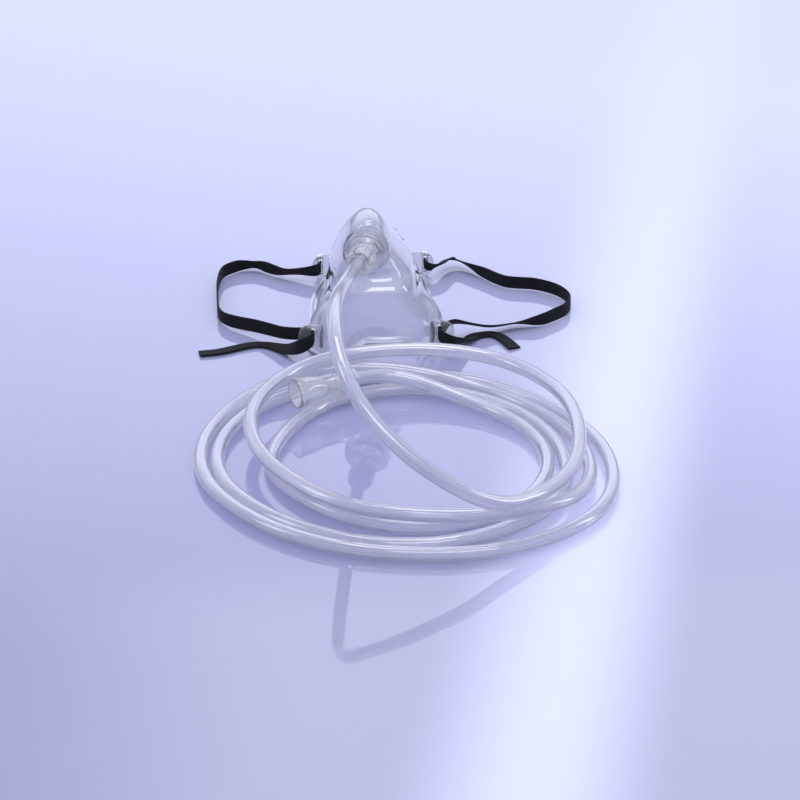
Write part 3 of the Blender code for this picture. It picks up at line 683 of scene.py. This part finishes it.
def port_frame():
    """The port's place and the way its connector points."""
    turn = Matrix.Rotation(-PORT_TURN, 4, "Z")
    rise = Matrix.Rotation(-PORT_RISE, 4, "X")
    to_minus_y = Matrix.Rotation(math.radians(90), 4, "X")
    return Matrix.Translation(PORT_PLACE) @ turn @ rise @ to_minus_y


def end_frame():
    """The far-end connector's middle; its mouth points along local +Z."""
    return (Matrix.Translation(END_PLACE) @ Matrix.Rotation(END_HEADING, 4, "Z")
            @ Matrix.Rotation(math.radians(90), 4, "Y"))


def tube_route():
    """The tube's whole line: out of its socket, through the air, round the coil, into its end."""
    socket_foot = BOSS_LENGTH + GAP + BARREL_LENGTH - SOCKET_DEPTH
    rows = [port_frame() @ Vector((0, 0, socket_foot + TUBE_IN_SOCKET))]
    rows += [Vector(point) * MM for point in LEAD_ROUTE]
    turns = [pair for turn in COIL_TURNS for pair in turn]
    count = (len(turns) - 1) * COIL_POINTS_BETWEEN + 1
    for k, (radius, height) in enumerate(catmull(turns, count)):
        angle = math.radians(COIL_START + COIL_STEP * k / COIL_POINTS_BETWEEN)
        around = Vector((radius * math.cos(angle), radius * math.sin(angle), height)) * MM
        rows.append(COIL_CENTRE + around)
    for back in END_APPROACH:
        rows.append(end_frame() @ Vector((0, 0, -back * MM)))
    fine = resample(catmull([tuple(row) for row in rows], TUBE_DETAIL * len(rows)), TUBE_FINE_SPACING)
    route = resample(soften(fine, TUBE_SOFTNESS), TUBE_SPACING)
    route[:, 2] = np.maximum(route[:, 2], TUBE_RADIUS + TABLE_PLAY)
    return route


def level_frames(route):
    """A heading and two cross directions at each point of a line, without twist."""
    headings = np.gradient(route, axis=0)
    headings /= np.linalg.norm(headings, axis=1)[:, None]
    side = np.cross(headings[0], (0, 0, 1))
    side /= np.linalg.norm(side)
    sides = []
    for heading in headings:
        side = side - heading * np.dot(side, heading)
        side /= np.linalg.norm(side)
        sides.append(side)
    sides = np.array(sides)
    return headings, sides, np.cross(headings, sides)


def make_tube(material):
    """The tube with its star-shaped bore, closed at both ends round the bore."""
    route = tube_route()
    headings, sides, ups = level_frames(route)
    angles = np.linspace(0, 2 * math.pi, TUBE_SIDES, endpoint=False)
    bm = bmesh.new()
    rings = []
    for place, side, up in zip(route, sides, ups):
        outer, inner = [], []
        for angle in angles:
            direction = side * math.cos(angle) + up * math.sin(angle)
            bore = TUBE_BORE + TUBE_STAR * math.cos(STAR_POINTS * angle)
            outer.append(bm.verts.new(place + direction * TUBE_RADIUS))
            inner.append(bm.verts.new(place + direction * bore))
        rings.append((outer, inner))
    for (outer_a, inner_a), (outer_b, inner_b) in zip(rings, rings[1:]):
        for k in range(TUBE_SIDES):
            after = (k + 1) % TUBE_SIDES
            bm.faces.new((outer_a[k], outer_b[k], outer_b[after], outer_a[after]))
            bm.faces.new((inner_a[k], inner_a[after], inner_b[after], inner_b[k]))
    for outer, inner in (rings[0], rings[-1]):
        for k in range(TUBE_SIDES):
            after = (k + 1) % TUBE_SIDES
            bm.faces.new((outer[k], outer[after], inner[after], inner[k]))
    bmesh.ops.recalc_face_normals(bm, faces=bm.faces)
    return add_mesh("tube_line", bm, material, sharp=50), route


def make_port_connector(material):
    """Clear moulded connector: flange, ribbed grip and a socket for the tube."""
    neck = (BORE_RADIUS - NECK_PLAY) / MM
    face = (BOSS_LENGTH + GAP) / MM
    mouth = face + BARREL_LENGTH / MM
    socket_foot = mouth - SOCKET_DEPTH / MM
    profile = (
        (1.2, -7.5), (neck - 0.8, -7.5), (neck, -6.5), (neck, face),
        (7.9, face), (7.9, face + 1.6), (6.4, face + 2.2),
        (6.1, face + 8.0), (5.7, face + 8.6),
        (5.5, mouth), (3.75, mouth), (3.75, socket_foot),
        (1.2, socket_foot - 0.6),
    )
    bm = bmesh.new()
    add_turned(bm, rounded_profile(profile, PORT_ROUNDING), port_frame(), PORT_SIDES)
    connector = add_mesh("connector_port", bm, material)
    ribs = bmesh.new()
    for k in range(CONNECTOR_RIBS):
        turn = Matrix.Rotation(2 * math.pi * (k + 0.5) / CONNECTOR_RIBS, 4, "Z")
        outward = Matrix.Translation((RIB_RADIUS, 0, BOSS_LENGTH + GAP + RIB_HEIGHT))
        add_block(ribs, RIB_SIZE, port_frame() @ turn @ outward)
    cut_or_join(connector, ribs, "UNION")
    return connector


def make_end_connector(material):
    """A soft funnel: a grooved sleeve over the tube's end that flares to a wide mouth."""
    half = END_LENGTH / MM / 2
    mouth = END_MOUTH_RADIUS / MM
    profile = [(2.0, -half + 9.0), (2.6, -half + 8.4), (3.5, -half + 8.4), (3.5, -half)]
    for start in BAND_STARTS:
        foot = -half + start
        profile += [(BAND_RADIUS, foot), (BAND_RADIUS, foot + BAND_WIDTH)]
        if start != BAND_STARTS[-1]:
            profile += [(GROOVE_RADIUS, foot + place) for place in GROOVE]
    profile += [
        (5.0, -half + 18.0), (mouth, half - 6.0), (mouth, half - 2.0), (mouth + 0.6, half - 1.4),
        (mouth + 0.6, half), (mouth - 0.8, half), (3.4, half - 14.0), (2.0, half - 17.0),
    ]
    bm = bmesh.new()
    add_turned(bm, rounded_profile(profile, END_ROUNDING), end_frame(), END_SIDES)
    return add_mesh("connector_end", bm, material)


# Straps

def make_strap(name, rows, material):
    """A knitted ribbon with soft edges, swept along its route."""
    fine = catmull(rows, STRAP_DETAIL * len(rows))
    fine[:, :3] *= MM
    table = resample(soften(resample(fine, STRAP_FINE_SPACING), STRAP_SOFTNESS), STRAP_SPACING)
    route = table[:, :3]
    headings = np.gradient(route, axis=0)
    run = np.concatenate(([0.0], np.cumsum(np.linalg.norm(np.diff(route, axis=0), axis=1))))
    half, thin = STRAP_WIDTH / 2, STRAP_THICKNESS / 2
    edge, edge_thin = half - STRAP_EDGE, thin * STRAP_EDGE_SHARE
    section = [(half, 0.0), (edge, edge_thin)]
    section += [(half * (1 - 2 * k / STRAP_COLUMNS), thin) for k in range(1, STRAP_COLUMNS)]
    section += [(-edge, edge_thin), (-half, 0.0)]
    section += [(across, -up) for across, up in reversed(section[1:-1])]
    bm = bmesh.new()
    layer = bm.loops.layers.uv.new("ribbon")
    rings = []
    for row, heading in zip(table, headings):
        heading = Vector(heading).normalized()
        level = heading.cross(Vector((0, 0, 1))).normalized()
        upright = level.cross(heading).normalized()
        tilt = math.radians(row[3])
        wide = upright * math.cos(tilt) + level * math.sin(tilt)
        thick = heading.cross(wide)
        centre = Vector(row[:3])
        rings.append([bm.verts.new(centre + wide * across + thick * up) for across, up in section])
    count = len(section)
    for first, (ring_a, ring_b) in enumerate(zip(rings, rings[1:])):
        for k in range(count):
            after = (k + 1) % count
            face = bm.faces.new((ring_a[k], ring_a[after], ring_b[after], ring_b[k]))
            places = ((first, k), (first, after), (first + 1, after), (first + 1, k))
            for loop, (index, column) in zip(face.loops, places):
                loop[layer].uv = (run[index] / MM, section[column][0] / MM)
    bm.faces.new(rings[0])
    bm.faces.new(reversed(rings[-1]))
    bmesh.ops.recalc_face_normals(bm, faces=bm.faces)
    return add_mesh(name, bm, material, sharp=60), route


# Mask

def shell_point(row, angle):
    """A point of the shell's outer surface on one station, at an angle around it."""
    height, chin, widest, nose, half_width = (value * MM for value in row[:5])
    squareness, roundness, swell = row[5:8]
    lean = row[8] * MM
    across, along = math.cos(angle), math.sin(angle)
    power = 2 / (squareness if along < 0 else roundness)
    reach = (widest - chin) if along < 0 else (nose - widest)
    y = widest + math.copysign(reach * abs(along) ** power, along)
    x = math.copysign(half_width * abs(across) ** power, across)
    x *= 1 + swell * math.exp(-((y - CHEEK_PLACE) / CHEEK_SPREAD) ** 2)
    arch = NOSE_ARCH * ease((y - NOSE_ARCH_START) / (NOSE_ARCH_END - NOSE_ARCH_START))
    arch *= math.exp(-(x / NOSE_ARCH_WIDTH) ** 2) * (1 - ease(height / NOSE_ARCH_TOP))
    return Vector((x + lean + nose_drift(y), y, height + arch + chin_arch(x, y, height)))


def nose_drift(y):
    """How far the soft nose end leans over to the right."""
    return NOSE_DRIFT * ease((y - NOSE_DRIFT_START) / (NOSE_DRIFT_END - NOSE_DRIFT_START))


def chin_arch(x, y, height):
    """How much the middle of the chin's rim is lifted off the table."""
    from_middle = abs(x - CHIN_ARCH_CENTRE)
    lift = CHIN_ARCH * (1 - ease((from_middle - CHIN_ARCH_FLAT) / (CHIN_ARCH_FOOT - CHIN_ARCH_FLAT)))
    lift *= ease((-y - CHIN_ARCH_START) / (CHIN_ARCH_END - CHIN_ARCH_START))
    return lift * (1 - ease(height / CHIN_ARCH_TOP))


def even_ring(row, count):
    """One station's outline with its points evenly spaced, starting at the right side."""
    samples = 8 * count
    outline = np.array([shell_point(row, 2 * math.pi * k / samples) for k in range(samples + 1)])
    return resample(outline, np.linalg.norm(np.diff(outline, axis=0), axis=1).sum() / count)[:count]


def shell_surface():
    """The shell's outer surface, open at the rim."""
    rows = [even_ring(row, AROUND) for row in catmull(STATIONS, LEVELS)]
    last = STATIONS[-1]
    crown = np.array((last[8] * MM, last[2] * MM, CROWN_HEIGHT))
    for share in CROWN_SHARES:
        ring = crown + (rows[LEVELS - 1] - crown) * share
        ring[:, 2] = CROWN_HEIGHT - (CROWN_HEIGHT - last[0] * MM) * share ** 2
        rows.append(ring)
    bm = bmesh.new()
    rings = [[bm.verts.new(place) for place in ring] for ring in rows]
    for low, high in zip(rings, rings[1:]):
        for k in range(AROUND):
            after = (k + 1) % AROUND
            bm.faces.new((low[k], low[after], high[after], high[k]))
    top = bm.verts.new(crown)
    for k in range(AROUND):
        bm.faces.new((rings[-1][k], rings[-1][(k + 1) % AROUND], top))
    return bm


def add_strap_plate(bm, side, ear):
    """An ear with rounded outer corners that a strap is threaded through."""
    y, inner, reach, slot_height, _, slope = (value * MM for value in ear)
    plate = bmesh.new()
    for vert in add_block(plate, (reach, PLATE_THICKNESS, PLATE_HEIGHT), Matrix.Identity(4)):
        if vert.co.x < 0 and vert.co.z > 0:
            vert.co.x -= slope
    outer = [edge for edge in plate.edges
             if all(vert.co.x > 0 for vert in edge.verts)
             and abs(edge.verts[0].co.y - edge.verts[1].co.y) > PLATE_THICKNESS / 2]
    bmesh.ops.bevel(plate, geom=outer, offset=PLATE_CORNER, segments=10, profile=0.5,
                    affect="EDGES")
    rim = [edge for edge in plate.edges
           if abs(edge.verts[0].co.y - edge.verts[1].co.y) < PLATE_THICKNESS / 2]
    bmesh.ops.bevel(plate, geom=rim, offset=PLATE_RIM, segments=4, profile=0.5, affect="EDGES")
    middle = side * (inner + reach / 2) + nose_drift(y)
    plate.transform(Matrix.Translation((middle, y, slot_height)) @ Matrix.Scale(side, 4, (1, 0, 0)))
    if side < 0:
        bmesh.ops.reverse_faces(plate, faces=plate.faces)
    join_bmesh(bm, plate)


def slot_place(side, ear):
    """The middle of an ear's strap slot."""
    y, inner, reach, slot_height, inset, _ = (value * MM for value in ear)
    return Vector((side * (inner + reach - inset) + nose_drift(y), y, slot_height))


def join_bmesh(bm, other):
    """Moves another form's faces into this one."""
    mesh = bpy.data.meshes.new("joined")
    other.to_mesh(mesh)
    other.free()
    bm.from_mesh(mesh)
    bpy.data.meshes.remove(mesh)


def surface_frame(angle, level):
    """A place on the shell and the way out of its surface there."""
    steps = 200
    rows = catmull(STATIONS, steps + 1)
    index = int(round(level * steps))
    row, above = rows[index], rows[index + 2]
    place = shell_point(row, angle)
    sideways = shell_point(row, angle + 0.02) - shell_point(row, angle - 0.02)
    out = sideways.cross(shell_point(above, angle) - place).normalized()
    if out.y < 0:
        out.negate()
    return place, out


def make_mask(material):
    """The shell with its wall, ears, studs and boss, and the port, slots and vents cut out."""
    mask = add_mesh("mask_shell", shell_surface(), material)
    solidify = mask.modifiers.new("wall", "SOLIDIFY")
    solidify.thickness = WALL
    solidify.offset = -1.0
    solidify.use_even_offset = True
    mask.modifiers.new("flat_faces", "TRIANGULATE")
    apply_modifiers(mask)

    added = bmesh.new()
    for side in (-1, 1):
        add_strap_plate(added, side, LUG)
        add_strap_plate(added, side, TAB)
        place, out = surface_frame(math.pi / 2 - side * STUD_SPREAD, sum(NOSE_CLIP_LEVEL) / 2)
        turn = out.to_track_quat("Z", "Y").to_matrix().to_4x4()
        add_cylinder(added, STUD_RADIUS, STUD_LENGTH, Matrix.Translation(place + out * STUD_OUT) @ turn)
    foot, low, step = BASE_RADIUS / MM, -BOSS_DEPTH / MM, BASE_LENGTH / MM
    face, middle = BOSS_LENGTH / MM, 0.001
    boss = [(middle, low), (foot, low), (foot, step), (BOSS_FOOT_RADIUS / MM, step),
            (BOSS_RADIUS / MM, face), (middle, face)]
    add_turned(added, rounded_profile(boss, BOSS_ROUNDING, 4), port_frame(), BOSS_SIDES)
    bmesh.ops.remove_doubles(added, verts=added.verts, dist=1e-5)
    cut_or_join(mask, added, "UNION")

    cuts = bmesh.new()
    add_cylinder(cuts, BORE_RADIUS, 8 * BOSS_LENGTH, port_frame(), segments=PORT_SIDES)
    for side in (-1, 1):
        for ear in (LUG, TAB):
            verts = add_block(cuts, (SLOT_WIDTH, 2 * PLATE_THICKNESS, SLOT_HEIGHT),
                              Matrix.Translation(slot_place(side, ear)))
            edges = {edge for vert in verts for edge in vert.link_edges
                     if abs(edge.verts[0].co.y - edge.verts[1].co.y) > PLATE_THICKNESS}
            bmesh.ops.bevel(cuts, geom=list(edges), offset=SLOT_CORNER, segments=4, profile=0.5,
                            affect="EDGES")
    y, z = VENT_PLACE
    centres = [(y, z)]
    for k in range(VENT_COUNT):
        angle = 2 * math.pi * k / VENT_COUNT
        centres.append((y + VENT_RING_RADIUS * math.cos(angle), z + VENT_RING_RADIUS * math.sin(angle)))
    for hole_y, hole_z in centres:
        place = Matrix.Translation((0, hole_y, hole_z)) @ Matrix.Rotation(math.pi / 2, 4, "Y")
        add_cylinder(cuts, VENT_RADIUS, VENT_CUT_LENGTH, place)
    add_block(cuts, FLOOR_CUT, Matrix.Translation((0, 0, -FLOOR_CUT.z / 2)))
    cut_or_join(mask, cuts, "DIFFERENCE")
    return mask


def dress_node(name, material):
    """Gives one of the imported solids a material, and keeps its shape."""
    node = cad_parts[name]
    node.data.materials.clear()
    node.data.materials.append(material)
    return node


def main():
    bpy.context.scene.view_settings.view_transform = "Standard"
    make_camera()
    make_world()
    make_stage()

    plastics = {name: clear_plastic(name, **looks) for name, looks in CLEAR_PLASTICS.items()}
    elastic = make_elastic()
    aluminium = make_aluminium()

    port = make_port_connector(plastics["connector_plastic"])
    end = make_end_connector(plastics["connector_vinyl"])
    for piece, node, slot in ((port, "port_connector", "connector_plastic"),
                              (end, "tube_end_connector", "clear_vinyl")):
        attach(piece, "root")
        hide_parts(node)

    tube, route = make_tube(plastics["tube_vinyl"])
    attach(tube, "root")
    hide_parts("oxygen_tube", "tube_coil")

    for side, rows in (("left", STRAP_LEFT_ROUTE), ("right", STRAP_RIGHT_ROUTE)):
        clip = dress_node("strap_clip_" + side, aluminium)
        strap, line = make_strap("elastic_" + side, rows, elastic)
        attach(strap, "root")
        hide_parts("strap_" + side)

    mask = make_mask(plastics["clear_vinyl"])
    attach(mask, "root")
    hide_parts("mask_body")
    dress_node("nose_clip", aluminium)


main()
